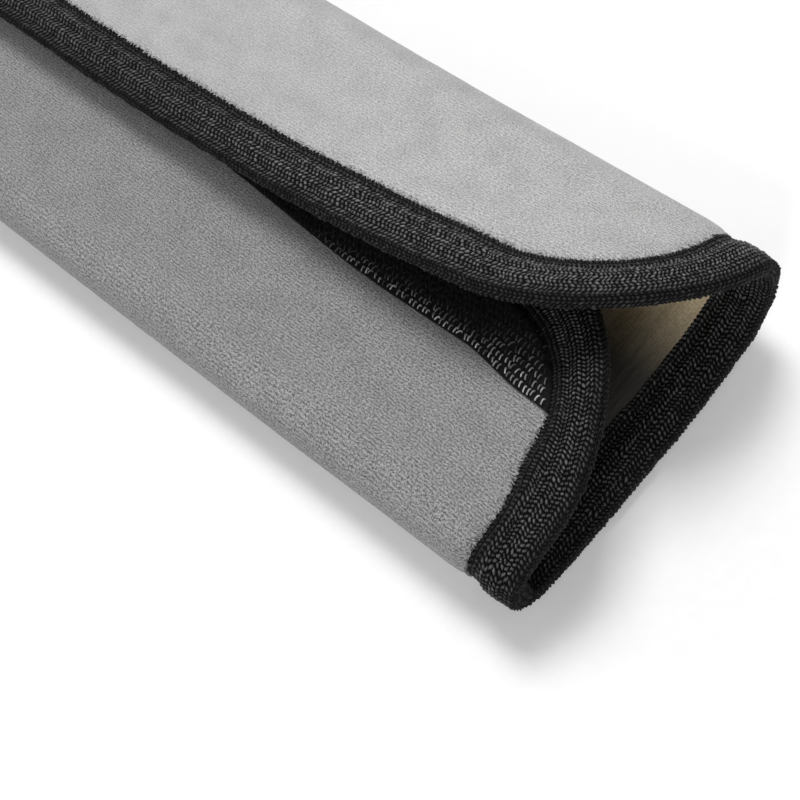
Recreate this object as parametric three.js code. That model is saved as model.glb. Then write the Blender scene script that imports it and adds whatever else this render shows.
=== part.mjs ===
// A padded sleeve that goes round a car's shoulder belt, where the belt lies on the chest.
//
// A thin mat of plush, foam and lining is cut with four round corners and bound all round with
// woven tape. It is folded twice lengthwise: a front panel folds over the bottom from one side,
// and a flap folds over from the other side and laps on the front panel. A strip of hooks on the
// front panel and a strip of loops under the flap hold the sleeve shut round the belt. One end is
// modelled as it springs open when nothing is in it: there the flap and the panel rise.
//
// Frame: X runs along the sleeve, with the open end at +X. The front panel's fold is at -Y and the
// flap's fold is at +Y. Z is up. The origin lies under the middle of the sleeve, on the surface
// that the sleeve rests on. All sizes are millimetres.

import * as THREE from "three";
import { mergeVertices } from "three/addons/utils/BufferGeometryUtils.js";

// Overall sizes
const SLEEVE_LENGTH = 240; // end to end, over the tape
const SLEEVE_WIDTH = 66; // over the two folds
const PANEL_WIDTH = 41; // front panel, from the end of its fold to its rim
const FLAP_WIDTH = 28; // flap, from the end of its fold to its rim
const CORNER_RADIUS = 32; // the mat's four round corners

// The mat's layers, from the outside in
const COVER_THICKNESS = 1.0;
const FOAM_THICKNESS = 2.0;
const LINING_THICKNESS = 0.6;
const LAYER_CLEARANCE = 0.2;

// The slot that the belt runs through, clear between lining and lining
const BELT_SLOT = 4.6;

// Woven tape, folded over the rim
const TAPE_WIDTH = 9; // on each face of the mat
const TAPE_THICKNESS = 0.7;
const TAPE_CLEARANCE = 0.4;
const PRESSED_THICKNESS = 1.8; // what is left of the mat where the tape presses it
const PRESSED_RUN = 12; // from the tape's border to the mat's full thickness

// Hook and loop strips
const HOOK_WIDTH = 10;
const HOOK_THICKNESS = 1.0;
const LOOP_WIDTH = 16;
const LOOP_THICKNESS = 1.0;
const LOOP_RIM_MARGIN = 1.5; // from the flap's rim to the loop strip
const STRIP_CLEARANCE = 0.3;

// How the open end stands
const FLAP_LIFT = THREE.MathUtils.degToRad(31);
const FLAP_LIFT_RUN = 125; // the lift dies out over this length
const PANEL_RISE = THREE.MathUtils.degToRad(25);
const PANEL_RISE_RUN = 50;
const PANEL_CURL = THREE.MathUtils.degToRad(-8); // the risen panel bends back down a little
const BOW_BACK = THREE.MathUtils.degToRad(17); // the bottom turns up towards the flap's fold
const BOW_FRONT = THREE.MathUtils.degToRad(8); // and less towards the front panel's fold
const BOW_WIDTH = 18;
const BOW_RUN = 75;

// Facets
const LENGTH_STEPS = 27;
const FOLD_STEPS = 6;
const CORNER_STEPS = 10;

// What follows from the sizes above
const MAT = COVER_THICKNESS + FOAM_THICKNESS + LINING_THICKNESS + 2 * LAYER_CLEARANCE;
const TAPE_INSIDE = PRESSED_THICKNESS / 2 + TAPE_CLEARANCE; // from mid mat to the tape
const TAPE_OUTSIDE = TAPE_INSIDE + TAPE_THICKNESS;
const LOOP_SEAT = TAPE_OUTSIDE + STRIP_CLEARANCE; // from mid mat, over the tape's inner edge
const LAP = MAT / 2 + 2 * STRIP_CLEARANCE + HOOK_THICKNESS + LOOP_THICKNESS + LOOP_SEAT;
const HALF_STACK = Math.max(MAT / 2, TAPE_OUTSIDE); // the thicker of mat and bound rim, halved
const FRONT_RADIUS = HALF_STACK + BELT_SLOT / 2; // fold of the front panel, at mid mat
const BACK_RADIUS = FRONT_RADIUS + LAP / 2; // fold of the flap, which also clears the panel
const FRONT_FLAT = SLEEVE_WIDTH / 2 - FRONT_RADIUS - HALF_STACK; // mid bottom to the start of a fold
const BACK_FLAT = SLEEVE_WIDTH / 2 - BACK_RADIUS - HALF_STACK;
const FRONT_FOLD = Math.PI * FRONT_RADIUS;
const BACK_FOLD = Math.PI * BACK_RADIUS;
const MAT_HALF_LENGTH = SLEEVE_LENGTH / 2 - TAPE_CLEARANCE - TAPE_THICKNESS;

// Stations across the flat mat, measured from the front panel's rim
const AT_FRONT_FOLD = PANEL_WIDTH;
const AT_BOTTOM = AT_FRONT_FOLD + FRONT_FOLD;
const AT_MIDDLE = AT_BOTTOM + FRONT_FLAT;
const AT_BACK_FOLD = AT_MIDDLE + BACK_FLAT;
const AT_FLAP = AT_BACK_FOLD + BACK_FOLD;
const MAT_WIDTH = AT_FLAP + FLAP_WIDTH;

/** 0 to 1 with a soft start and end. */
function ease(t) {
  return THREE.MathUtils.smoothstep(t, 0, 1);
}

/** 1 at the open end, falling softly to 0 where the given run ends, as a sheet curls up. */
function nearOpenEnd(x, run) {
  const share = Math.max(1 - (MAT_HALF_LENGTH - x) / run, 0);
  return share * share;
}

/**
 * Walks along a chain of arcs, each given by its length and the angle that it turns, and returns
 * the place and the heading after a distance. The last arc goes on past its end.
 */
function walk(arcs, distance) {
  const at = { across: 0, up: 0, heading: 0 };
  let left = distance;
  for (const [index, arc] of arcs.entries()) {
    const isLast = index === arcs.length - 1;
    const step = isLast ? left : Math.min(left, arc.length);
    const turn = (arc.turn / arc.length) * step;
    const chord = Math.abs(turn) < 1e-9 ? step : (2 * step * Math.sin(turn / 2)) / turn;
    at.across += chord * Math.cos(at.heading + turn / 2);
    at.up += chord * Math.sin(at.heading + turn / 2);
    at.heading += turn;
    left -= step;
  }
  return at;
}

/** The front half of the section at x, from the middle of the bottom to the panel's rim. */
function frontArcs(x) {
  const rise = PANEL_RISE * nearOpenEnd(x, PANEL_RISE_RUN);
  const curl = PANEL_CURL * nearOpenEnd(x, PANEL_RISE_RUN);
  const bow = BOW_FRONT * nearOpenEnd(x, BOW_RUN);
  return [
    { length: FRONT_FLAT - BOW_WIDTH, turn: 0 },
    { length: BOW_WIDTH, turn: bow },
    { length: FRONT_FOLD, turn: Math.PI - rise - bow },
    { length: PANEL_WIDTH, turn: curl },
  ];
}

/** The back half of the section at x, from the middle of the bottom to the flap's rim. */
function backArcs(x) {
  const lift = FLAP_LIFT * nearOpenEnd(x, FLAP_LIFT_RUN);
  const bow = BOW_BACK * nearOpenEnd(x, BOW_RUN);
  return [
    { length: BACK_FLAT - BOW_WIDTH, turn: 0 },
    { length: BOW_WIDTH, turn: bow },
    { length: BACK_FOLD, turn: Math.PI - lift - bow },
    { length: FLAP_WIDTH, turn: 0 },
  ];
}

/**
 * Folds one point of the flat mat. x runs along it, u across it from the front panel's rim, and
 * depth is measured from mid mat towards the lining.
 */
function foldPoint(x, u, depth) {
  const side = u < AT_MIDDLE ? -1 : 1;
  const at = walk(side < 0 ? frontArcs(x) : backArcs(x), Math.abs(u - AT_MIDDLE));
  const y = side * (at.across - depth * Math.sin(at.heading));
  const z = HALF_STACK + at.up + depth * Math.cos(at.heading);
  return new THREE.Vector3(x, y, z);
}

/** Distance of a flat point from the mat's rim, inwards. */
function rimDistance(x, u) {
  const pastX = Math.abs(x) - (MAT_HALF_LENGTH - CORNER_RADIUS);
  const pastU = Math.abs(u - MAT_WIDTH / 2) - (MAT_WIDTH / 2 - CORNER_RADIUS);
  const round = Math.hypot(Math.max(pastX, 0), Math.max(pastU, 0));
  return CORNER_RADIUS - round - Math.min(Math.max(pastX, pastU), 0);
}

/** The share of the mat's thickness that is left at a flat point: the tape presses the rim. */
function plumpness(x, u) {
  const loose = ease((rimDistance(x, u) - TAPE_WIDTH) / PRESSED_RUN);
  return THREE.MathUtils.lerp(PRESSED_THICKNESS / MAT, 1, loose);
}

/** Half the length of the mat's row at u, for an outline drawn in from the rim by an inset. */
function halfRow(u, inset) {
  const toRim = Math.min(u, MAT_WIDTH - u);
  const radius = CORNER_RADIUS - inset;
  const drop = Math.min(Math.max(CORNER_RADIUS - toRim, 0), radius);
  return MAT_HALF_LENGTH - CORNER_RADIUS + Math.sqrt(radius * radius - drop * drop);
}

/** Even stations from one value to another, without the last. */
function evenly(from, to, count) {
  return Array.from({ length: count }, (_, i) => from + ((to - from) * i) / count);
}

/** Stations from a rim inwards, spaced as even steps round a corner, up to a width. */
function roundCorner(width, count) {
  const reach = Math.acos(Math.max(1 - width / CORNER_RADIUS, 0));
  return evenly(0, reach, count).map((angle) => CORNER_RADIUS * (1 - Math.cos(angle)));
}

// Stations across the mat, close together in the folds and round the corners
const PANEL_STATIONS = [...roundCorner(CORNER_RADIUS, 6), ...evenly(CORNER_RADIUS, PANEL_WIDTH, 1)];
const FLAP_STATIONS = roundCorner(FLAP_WIDTH, 6).map((v) => MAT_WIDTH - v);
const ACROSS = [
  ...PANEL_STATIONS,
  ...evenly(AT_FRONT_FOLD, AT_BOTTOM, FOLD_STEPS),
  ...evenly(AT_BOTTOM, AT_BOTTOM + BOW_WIDTH, 2),
  ...evenly(AT_BOTTOM + BOW_WIDTH, AT_BACK_FOLD - BOW_WIDTH, 1),
  ...evenly(AT_BACK_FOLD - BOW_WIDTH, AT_BACK_FOLD, 2),
  ...evenly(AT_BACK_FOLD, AT_FLAP, FOLD_STEPS + 1),
  AT_FLAP,
  ...FLAP_STATIONS.reverse(),
];

/** Shares of the length from the far end to the open end: close at both ends, closest at the open one. */
function lengthShare(t) {
  const bothEnds = t - (0.62 * Math.sin(2 * Math.PI * t)) / (2 * Math.PI);
  return THREE.MathUtils.lerp(bothEnds, 1 - (1 - t) * (1 - t), 0.3);
}

const ALONG = [...evenly(0, 1, LENGTH_STEPS), 1].map(lengthShare);

/** The wall and face triangles of a blank: a grid of rows, with an outer and an inner point each. */
function blankFaces(rows, columns) {
  const faces = [];
  const corner = (row, column, layer) => (row * columns + column) * 2 + layer;
  const quad = (a, b, c, d) => faces.push(a, b, c, a, c, d);
  for (let r = 0; r < rows - 1; r++) {
    for (let c = 0; c < columns - 1; c++) {
      const [a, b] = [corner(r, c, 0), corner(r, c + 1, 0)];
      const [d, e] = [corner(r + 1, c, 0), corner(r + 1, c + 1, 0)];
      faces.push(a, d, e, a, e, b);
      faces.push(a + 1, e + 1, d + 1, a + 1, b + 1, e + 1);
    }
    quad(corner(r, 0, 0), corner(r, 0, 1), corner(r + 1, 0, 1), corner(r + 1, 0, 0));
    const last = columns - 1;
    quad(corner(r + 1, last, 0), corner(r + 1, last, 1), corner(r, last, 1), corner(r, last, 0));
  }
  for (let c = 0; c < columns - 1; c++) {
    quad(corner(0, c + 1, 0), corner(0, c + 1, 1), corner(0, c, 1), corner(0, c, 0));
    const last = rows - 1;
    quad(corner(last, c, 0), corner(last, c, 1), corner(last, c + 1, 1), corner(last, c + 1, 0));
  }
  return faces;
}

/**
 * A flat blank with one row for each station across it, folded into its place. Each row runs
 * between the two ends that rowHalf gives for it, and the blank fills the depths that faces gives.
 */
function foldedBlank(stations, rowHalf, faces) {
  const points = [];
  for (const u of stations) {
    for (const share of ALONG) {
      const x = THREE.MathUtils.lerp(-rowHalf(u), rowHalf(u), share);
      const [outer, inner] = faces(x, u);
      points.push(foldPoint(x, u, outer), foldPoint(x, u, inner));
    }
  }
  const blank = new THREE.BufferGeometry().setFromPoints(points);
  blank.setIndex(blankFaces(stations.length, ALONG.length));
  return mergeVertices(blank);
}

/** One layer of the mat, between two depths that shrink where the tape presses the mat. */
function matLayer(outer, inner) {
  const faces = (x, u) => [outer * plumpness(x, u), inner * plumpness(x, u)];
  return foldedBlank(ACROSS, (u) => halfRow(u, 0), faces);
}

/** Flat points round the mat's rim, each with the direction that leads inwards from it. */
function rimStations() {
  const cornerX = MAT_HALF_LENGTH - CORNER_RADIUS;
  const cornerU = MAT_WIDTH / 2 - CORNER_RADIUS;
  const sideX = ALONG.map((share) => THREE.MathUtils.lerp(-MAT_HALF_LENGTH, MAT_HALF_LENGTH, share))
    .filter((x) => Math.abs(x) < cornerX - 1);
  const endU = ACROSS.map((u) => u - MAT_WIDTH / 2).filter((u) => Math.abs(u) < cornerU - 1);
  const stations = [];
  const add = (x, u, inX, inU) => stations.push({ x, u: u + MAT_WIDTH / 2, inX, inU });
  const corner = (signX, signU, start) => {
    for (let i = 0; i <= CORNER_STEPS; i++) {
      const angle = start + (Math.PI / 2) * (i / CORNER_STEPS);
      const [c, s] = [Math.cos(angle), Math.sin(angle)];
      add(signX * cornerX + CORNER_RADIUS * c, signU * cornerU + CORNER_RADIUS * s, -c, -s);
    }
  };
  endU.forEach((u) => add(MAT_HALF_LENGTH, u, -1, 0));
  corner(1, 1, 0);
  [...sideX].reverse().forEach((x) => add(x, MAT_WIDTH / 2, 0, -1));
  corner(-1, 1, Math.PI / 2);
  [...endU].reverse().forEach((u) => add(-MAT_HALF_LENGTH, u, 1, 0));
  corner(-1, -1, Math.PI);
  sideX.forEach((x) => add(x, -MAT_WIDTH / 2, 0, 1));
  corner(1, -1, (3 * Math.PI) / 2);
  return stations;
}

/** The tape's section: how far in from the rim and how deep, going once round its U. */
function tapeSection() {
  const legs = [TAPE_WIDTH, TAPE_WIDTH / 2, 0];
  const nose = evenly(0, Math.PI, 4).slice(1).map((angle) => ({
    inward: -(TAPE_CLEARANCE + TAPE_THICKNESS) * Math.sin(angle),
    depth: -TAPE_OUTSIDE * Math.cos(angle),
  }));
  return [
    ...legs.map((inward) => ({ inward, depth: -TAPE_OUTSIDE })),
    ...nose,
    ...[...legs].reverse().map((inward) => ({ inward, depth: TAPE_OUTSIDE })),
    ...legs.slice(0, 2).map((inward) => ({ inward, depth: TAPE_INSIDE })),
    { inward: -TAPE_CLEARANCE, depth: TAPE_INSIDE },
    { inward: -TAPE_CLEARANCE, depth: -TAPE_INSIDE },
    ...legs.slice(0, 2).reverse().map((inward) => ({ inward, depth: -TAPE_INSIDE })),
  ];
}

/** The binding tape, carried once round the whole rim as one closed ring. */
function bindingTape() {
  const section = tapeSection();
  const stations = rimStations();
  const points = stations.flatMap((rim) =>
    section.map((s) => foldPoint(rim.x + rim.inX * s.inward, rim.u + rim.inU * s.inward, s.depth)),
  );
  const faces = [];
  for (let i = 0; i < stations.length; i++) {
    const here = i * section.length;
    const next = ((i + 1) % stations.length) * section.length;
    for (let j = 0; j < section.length; j++) {
      const k = (j + 1) % section.length;
      faces.push(here + j, next + j, next + k);
      faces.push(here + j, next + k, here + k);
    }
  }
  const tape = new THREE.BufferGeometry().setFromPoints(points);
  tape.setIndex(faces);
  return mergeVertices(tape);
}

/** The strip of hooks, on the front panel's outer face beside the tape. */
function hookStrip() {
  const inset = TAPE_WIDTH + STRIP_CLEARANCE;
  const stations = [...evenly(inset, inset + HOOK_WIDTH, 3), inset + HOOK_WIDTH];
  const faces = (x, u) => {
    const seat = -(MAT / 2) * plumpness(x, u) - STRIP_CLEARANCE;
    return [seat - HOOK_THICKNESS, seat];
  };
  return foldedBlank(stations, (u) => halfRow(u, inset), faces);
}

/** The strip of loops, under the flap over the tape's inner edge, between the round corners. */
function loopStrip() {
  const near = MAT_WIDTH - LOOP_RIM_MARGIN;
  const stations = [...evenly(near - LOOP_WIDTH, near, 3), near];
  const faces = () => [LOOP_SEAT, LOOP_SEAT + LOOP_THICKNESS];
  return foldedBlank(stations, () => MAT_HALF_LENGTH - CORNER_RADIUS, faces);
}

const GREY_PLUSH = new THREE.MeshStandardMaterial({ color: 0x9d9ea0, roughness: 0.95, metalness: 0 });
const PALE_FOAM = new THREE.MeshStandardMaterial({ color: 0xd8d4c8, roughness: 0.9, metalness: 0 });
const TAN_KNIT = new THREE.MeshStandardMaterial({ color: 0x8a7a62, roughness: 0.9, metalness: 0 });
const BLACK_WEBBING = new THREE.MeshStandardMaterial({ color: 0x1d1d1e, roughness: 0.8, metalness: 0 });
const BLACK_HOOKS = new THREE.MeshStandardMaterial({ color: 0x17171a, roughness: 0.55, metalness: 0 });
const BLACK_LOOPS = new THREE.MeshStandardMaterial({ color: 0x1a1a1a, roughness: 0.95, metalness: 0 });

function subPart(name, geometry, material) {
  const mesh = new THREE.Mesh(geometry, material);
  mesh.name = name;
  return mesh;
}

const coverInside = -MAT / 2 + COVER_THICKNESS;
const foamOutside = coverInside + LAYER_CLEARANCE;
const foamInside = foamOutside + FOAM_THICKNESS;
const liningOutside = foamInside + LAYER_CLEARANCE;

const shoulderPad = new THREE.Group();
shoulderPad.add(
  subPart("outer_cover", matLayer(-MAT / 2, coverInside), GREY_PLUSH),
  subPart("foam_core", matLayer(foamOutside, foamInside), PALE_FOAM),
  subPart("inner_lining", matLayer(liningOutside, MAT / 2), TAN_KNIT),
  subPart("binding_tape", bindingTape(), BLACK_WEBBING),
  subPart("hook_strip", hookStrip(), BLACK_HOOKS),
  subPart("loop_strip", loopStrip(), BLACK_LOOPS),
);

export default shoulderPad;
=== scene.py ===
# %% [markdown]
# # A padded sleeve for a shoulder belt
#
# This lesson dresses a folded mat with its cloth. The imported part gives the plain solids. Here
# each of them gets the surface that a hand would feel: short plush, a tan lining, woven tape with
# its yarns, small nylon hooks and the thread that holds it all together.
#
# Every piece starts flat, as it does on the cutting table, and one function folds it up. So the
# weave of a piece follows the cloth round each fold, and neighbours keep their distance.

import bpy
import math
import numpy as np
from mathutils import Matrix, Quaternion, Vector


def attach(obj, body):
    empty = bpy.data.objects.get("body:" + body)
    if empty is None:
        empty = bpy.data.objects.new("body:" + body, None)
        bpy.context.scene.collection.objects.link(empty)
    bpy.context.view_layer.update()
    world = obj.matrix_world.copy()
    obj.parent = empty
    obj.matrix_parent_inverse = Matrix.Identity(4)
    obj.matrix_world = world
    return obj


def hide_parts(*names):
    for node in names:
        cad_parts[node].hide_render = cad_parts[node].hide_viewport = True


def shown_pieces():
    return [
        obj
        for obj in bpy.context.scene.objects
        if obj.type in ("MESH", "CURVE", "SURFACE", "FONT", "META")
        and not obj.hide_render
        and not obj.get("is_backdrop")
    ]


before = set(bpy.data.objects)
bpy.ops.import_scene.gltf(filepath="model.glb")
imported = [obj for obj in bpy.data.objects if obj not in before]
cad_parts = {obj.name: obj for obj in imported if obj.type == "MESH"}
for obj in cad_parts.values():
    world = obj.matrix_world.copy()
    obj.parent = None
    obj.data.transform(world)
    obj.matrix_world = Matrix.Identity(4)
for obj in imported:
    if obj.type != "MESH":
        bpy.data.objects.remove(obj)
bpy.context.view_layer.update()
print("CAD nodes:", sorted(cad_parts))

# %% [markdown]
# ## The flat mat
#
# The sizes are the part's own, in millimetres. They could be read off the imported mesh, but a
# folded mesh no longer says where its cloth came from. So the flat mat is drawn again from the
# same sizes, and the fold is repeated.
#
# x runs along the mat. u runs across it from the front panel's rim. depth is measured from the
# middle of the mat's thickness towards the lining, so the plush lies at a negative depth.

# %% Sizes of the flat mat
MILLIMETRE = 0.001

SLEEVE_LENGTH = 240
SLEEVE_WIDTH = 66
PANEL_WIDTH = 41
FLAP_WIDTH = 28
CORNER_RADIUS = 32

MAT = 4.0  # cover, foam and lining together
BELT_SLOT = 4.6
TAPE_WIDTH = 9
TAPE_THICKNESS = 0.7
TAPE_CLEARANCE = 0.4
PRESSED_THICKNESS = 1.8
HOOK_WIDTH = 10
LOOP_WIDTH = 16
LOOP_RIM_MARGIN = 1.5
STRIP_CLEARANCE = 0.3
STRIP_THICKNESS = 1.0

TAPE_OUTSIDE = PRESSED_THICKNESS / 2 + TAPE_CLEARANCE + TAPE_THICKNESS
LOOP_SEAT = TAPE_OUTSIDE + STRIP_CLEARANCE
LAP = MAT / 2 + 2 * STRIP_CLEARANCE + 2 * STRIP_THICKNESS + LOOP_SEAT
HALF_STACK = max(MAT / 2, TAPE_OUTSIDE)
FRONT_RADIUS = HALF_STACK + BELT_SLOT / 2
BACK_RADIUS = FRONT_RADIUS + LAP / 2
FRONT_FLAT = SLEEVE_WIDTH / 2 - FRONT_RADIUS - HALF_STACK
BACK_FLAT = SLEEVE_WIDTH / 2 - BACK_RADIUS - HALF_STACK
FRONT_FOLD = math.pi * FRONT_RADIUS
BACK_FOLD = math.pi * BACK_RADIUS
HALF_LENGTH = SLEEVE_LENGTH / 2 - TAPE_CLEARANCE - TAPE_THICKNESS

AT_BOTTOM = PANEL_WIDTH + FRONT_FOLD
AT_MIDDLE = AT_BOTTOM + FRONT_FLAT
AT_BACK_FOLD = AT_MIDDLE + BACK_FLAT
AT_FLAP = AT_BACK_FOLD + BACK_FOLD
MAT_WIDTH = AT_FLAP + FLAP_WIDTH
print(f"the flat mat is {MAT_WIDTH:.1f} by {2 * HALF_LENGTH:.1f} mm")

# %% [markdown]
# ## Folding
#
# Bone deformation or a cloth simulation could fold the mat. A chain of arcs is simpler and gives
# the same result each time: the section is flat, then turns through a fold, and is flat again.
# Near the open end the flap and the panel turn less, so they stand up there. The seam also draws
# the open end in a little, most at the front fold.

# %% The fold as a chain of arcs
FLAP_LIFT, FLAP_LIFT_RUN = math.radians(31), 125
PANEL_RISE, PANEL_RISE_RUN = math.radians(25), 50
PANEL_CURL = math.radians(-8)
BOW_BACK, BOW_FRONT = math.radians(17), math.radians(8)
BOW_WIDTH, BOW_RUN = 18, 75
DRAWN_AT_FOLD, DRAWN_AT_BOTTOM = 0.75, 0.45
DRAW_IN_RUN = 45  # how far from the open end the seam's pull is felt


def near_open_end(x, run):
    """1 at the open end, falling softly to 0 over a run."""
    return np.clip(1 - (HALF_LENGTH - x) / run, 0, None) ** 2


def walk(arcs, distance):
    """Walks along arcs of (length, turn) and returns how far across and up it came, and its heading."""
    across, up, heading = (np.zeros_like(distance) for _ in range(3))
    left = distance.copy()
    for index, (length, turn) in enumerate(arcs):
        is_last = index == len(arcs) - 1
        step = left if is_last else np.minimum(left, length)
        angle = turn / length * step
        chord = step * np.sinc(angle / (2 * np.pi))
        across = across + chord * np.cos(heading + angle / 2)
        up = up + chord * np.sin(heading + angle / 2)
        heading = heading + angle
        left = left - step
    return across, up, heading


def drawn_in(x, u):
    """How far the sewn end pulls the mat back: most at the front fold, less along the bottom."""
    around_fold = DRAWN_AT_FOLD * np.exp(-((u - AT_BOTTOM + 7) / 12) ** 2)
    along_bottom = DRAWN_AT_BOTTOM * np.clip((u - PANEL_WIDTH) / 10, 0, 1)
    along_bottom = along_bottom * np.clip((AT_FLAP - u) / 12, 0, 1)
    return np.maximum(around_fold, along_bottom) * near_open_end(x, DRAW_IN_RUN)


def fold(x, u, depth):
    """Folds points of the flat mat, given in millimetres, and returns them in metres."""
    x, u, depth = np.broadcast_arrays(*(np.asarray(v, float) for v in (x, u, depth)))
    x = x - drawn_in(x, u)
    rise = PANEL_RISE * near_open_end(x, PANEL_RISE_RUN)
    curl = PANEL_CURL * near_open_end(x, PANEL_RISE_RUN)
    lift = FLAP_LIFT * near_open_end(x, FLAP_LIFT_RUN)
    bow_front = BOW_FRONT * near_open_end(x, BOW_RUN)
    bow_back = BOW_BACK * near_open_end(x, BOW_RUN)
    front = [(FRONT_FLAT - BOW_WIDTH, 0), (BOW_WIDTH, bow_front),
             (FRONT_FOLD, np.pi - rise - bow_front), (PANEL_WIDTH, curl)]
    back = [(BACK_FLAT - BOW_WIDTH, 0), (BOW_WIDTH, bow_back),
            (BACK_FOLD, np.pi - lift - bow_back), (FLAP_WIDTH, 0)]
    is_front = u < AT_MIDDLE
    walked = zip(walk(front, np.maximum(AT_MIDDLE - u, 0)), walk(back, np.maximum(u - AT_MIDDLE, 0)))
    across, up, heading = (np.where(is_front, f, b) for f, b in walked)
    side = np.where(is_front, -1, 1)
    y = side * (across - depth * np.sin(heading))
    z = HALF_STACK + up + depth * np.cos(heading)
    return np.stack([x, y, z], axis=-1) * MILLIMETRE


print("a corner of the flap lands at", fold(HALF_LENGTH, MAT_WIDTH, 0).round(4))

# %% [markdown]
# ## How thick the mat is
#
# The tape presses the rim of the mat, and the plush swells up again just past the tape. A plain
# distance from the rim is enough to drive that, and it also works round the corners.

# %% Distance from the rim
def ease(t):
    t = np.clip(t, 0, 1)
    return t * t * (3 - 2 * t)


def rim_distance(x, u):
    past_x = np.abs(x) - (HALF_LENGTH - CORNER_RADIUS)
    past_u = np.abs(u - MAT_WIDTH / 2) - (MAT_WIDTH / 2 - CORNER_RADIUS)
    around = np.hypot(np.maximum(past_x, 0), np.maximum(past_u, 0))
    return CORNER_RADIUS - around - np.minimum(np.maximum(past_x, past_u), 0)


def half_row(u, inset):
    """Half the length of the mat's row at u, for an outline drawn in from the rim by an inset."""
    radius = CORNER_RADIUS - inset
    to_rim = np.minimum(u, MAT_WIDTH - u)
    drop = np.clip(CORNER_RADIUS - to_rim, 0, radius)
    return HALF_LENGTH - CORNER_RADIUS + np.sqrt(radius ** 2 - drop ** 2)


# %% [markdown]
# Cloth is never quite even. Blender's Displace modifier could move the vertices, but here the
# unevenness has to be there before the mat is folded. So a small lattice of random heights, with
# soft steps between them, does it in plain numbers, and the seed makes it the same each time.

# %% Uneven cloth
def uneven(a, b, size, seed):
    """Soft random heights from -1 to 1 over a plane, with one lattice point every size."""
    a, b = np.broadcast_arrays(a / size, b / size)
    lattice = np.random.default_rng(seed).uniform(-1, 1, (512, 512))
    column, row = np.floor(a).astype(int), np.floor(b).astype(int)
    s, t = ease(a - column), ease(b - row)
    near, far = lattice[column % 512, row % 512], lattice[column % 512, (row + 1) % 512]
    near_next = lattice[(column + 1) % 512, row % 512]
    far_next = lattice[(column + 1) % 512, (row + 1) % 512]
    return (near * (1 - s) + near_next * s) * (1 - t) + (far * (1 - s) + far_next * s) * t


# %% [markdown]
# ## From numbers to a mesh
#
# Each piece becomes a grid of points. bmesh could build it face by face, but these grids have up
# to seventy-five thousand faces, so whole arrays are handed over at once. The flat place of each
# point of cloth is kept as a UV map in metres. The weave of each cloth is drawn in that map.

# %% Mesh helpers
def make_mesh(name, points, faces, flat=None, relief=None):
    """A smooth mesh with its flat place as the UV map and, if given, a relief value on each point."""
    mesh = bpy.data.meshes.new(name)
    mesh.from_pydata(points.reshape(-1, 3), [], faces if isinstance(faces, list) else faces.tolist())
    mesh.update()
    if flat is not None:
        corners = np.empty(len(mesh.loops), np.int32)
        mesh.loops.foreach_get("vertex_index", corners)
        flat_map = mesh.uv_layers.new(name="flat")
        flat_map.data.foreach_set("uv", (flat[corners] * MILLIMETRE).astype(np.float32).ravel())
    if relief is not None:
        mesh.attributes.new("relief", "FLOAT", "POINT").data.foreach_set("value", relief.astype(np.float32))
    mesh.shade_smooth()
    piece = bpy.data.objects.new(name, mesh)
    bpy.context.scene.collection.objects.link(piece)
    return piece


def quads(rows, columns, first=0, wrap=False):
    """Faces of a grid of rows and columns of points. wrap joins the last column to the first."""
    r, c = np.meshgrid(np.arange(rows - 1), np.arange(columns if wrap else columns - 1), indexing="ij")
    after = (c + 1) % columns
    corners = [r * columns + c, (r + 1) * columns + c, (r + 1) * columns + after, r * columns + after]
    return first + np.stack(corners, axis=-1).reshape(-1, 4)


def slab(name, x, u, outer, inner):
    """A closed sheet of cloth between two depths, from a grid of flat places."""
    rows, columns = x.shape
    points = np.concatenate([fold(x, u, outer), fold(x, u, inner)]).reshape(-1, 3)
    count = rows * columns
    outside = quads(rows, columns)
    inside = quads(rows, columns, first=count)[:, ::-1]
    grid = np.arange(count).reshape(rows, columns)
    rim = np.concatenate([grid[0, :-1], grid[:-1, -1], grid[-1, :0:-1], grid[:0:-1, 0]])
    after = np.roll(rim, -1)
    wall = np.stack([rim, after, after + count, rim + count], axis=-1)
    flat = np.stack([x, u], axis=-1).reshape(-1, 2)
    return make_mesh(name, points, np.concatenate([outside, inside, wall]), np.tile(flat, (2, 1)))


def blank(stations, spacing, half):
    """A grid of flat places: a row at each station, with places about a spacing apart along it."""
    count = int(2 * HALF_LENGTH / spacing) + 1
    share = np.linspace(-1, 1, count)
    x = half(stations)[:, None] * share[None, :]
    return x, np.broadcast_to(stations[:, None], x.shape)


def finish_piece(piece, slot, *nodes):
    """Fixes a piece to the part and hides the plain solids that it stands for."""
    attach(piece, "root")
    if nodes:
        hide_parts(*nodes)
    print(piece.name, "faces:", len(piece.data.polygons))


# %% [markdown]
# ## Colours and textures
#
# Each cloth is a node material, drawn in the flat map. Hooks, loops and thread have no flat map,
# so theirs is drawn in the piece's own space. These helpers keep the node trees short to write. A
# colour or number that is the same everywhere goes straight onto the shader.

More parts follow.
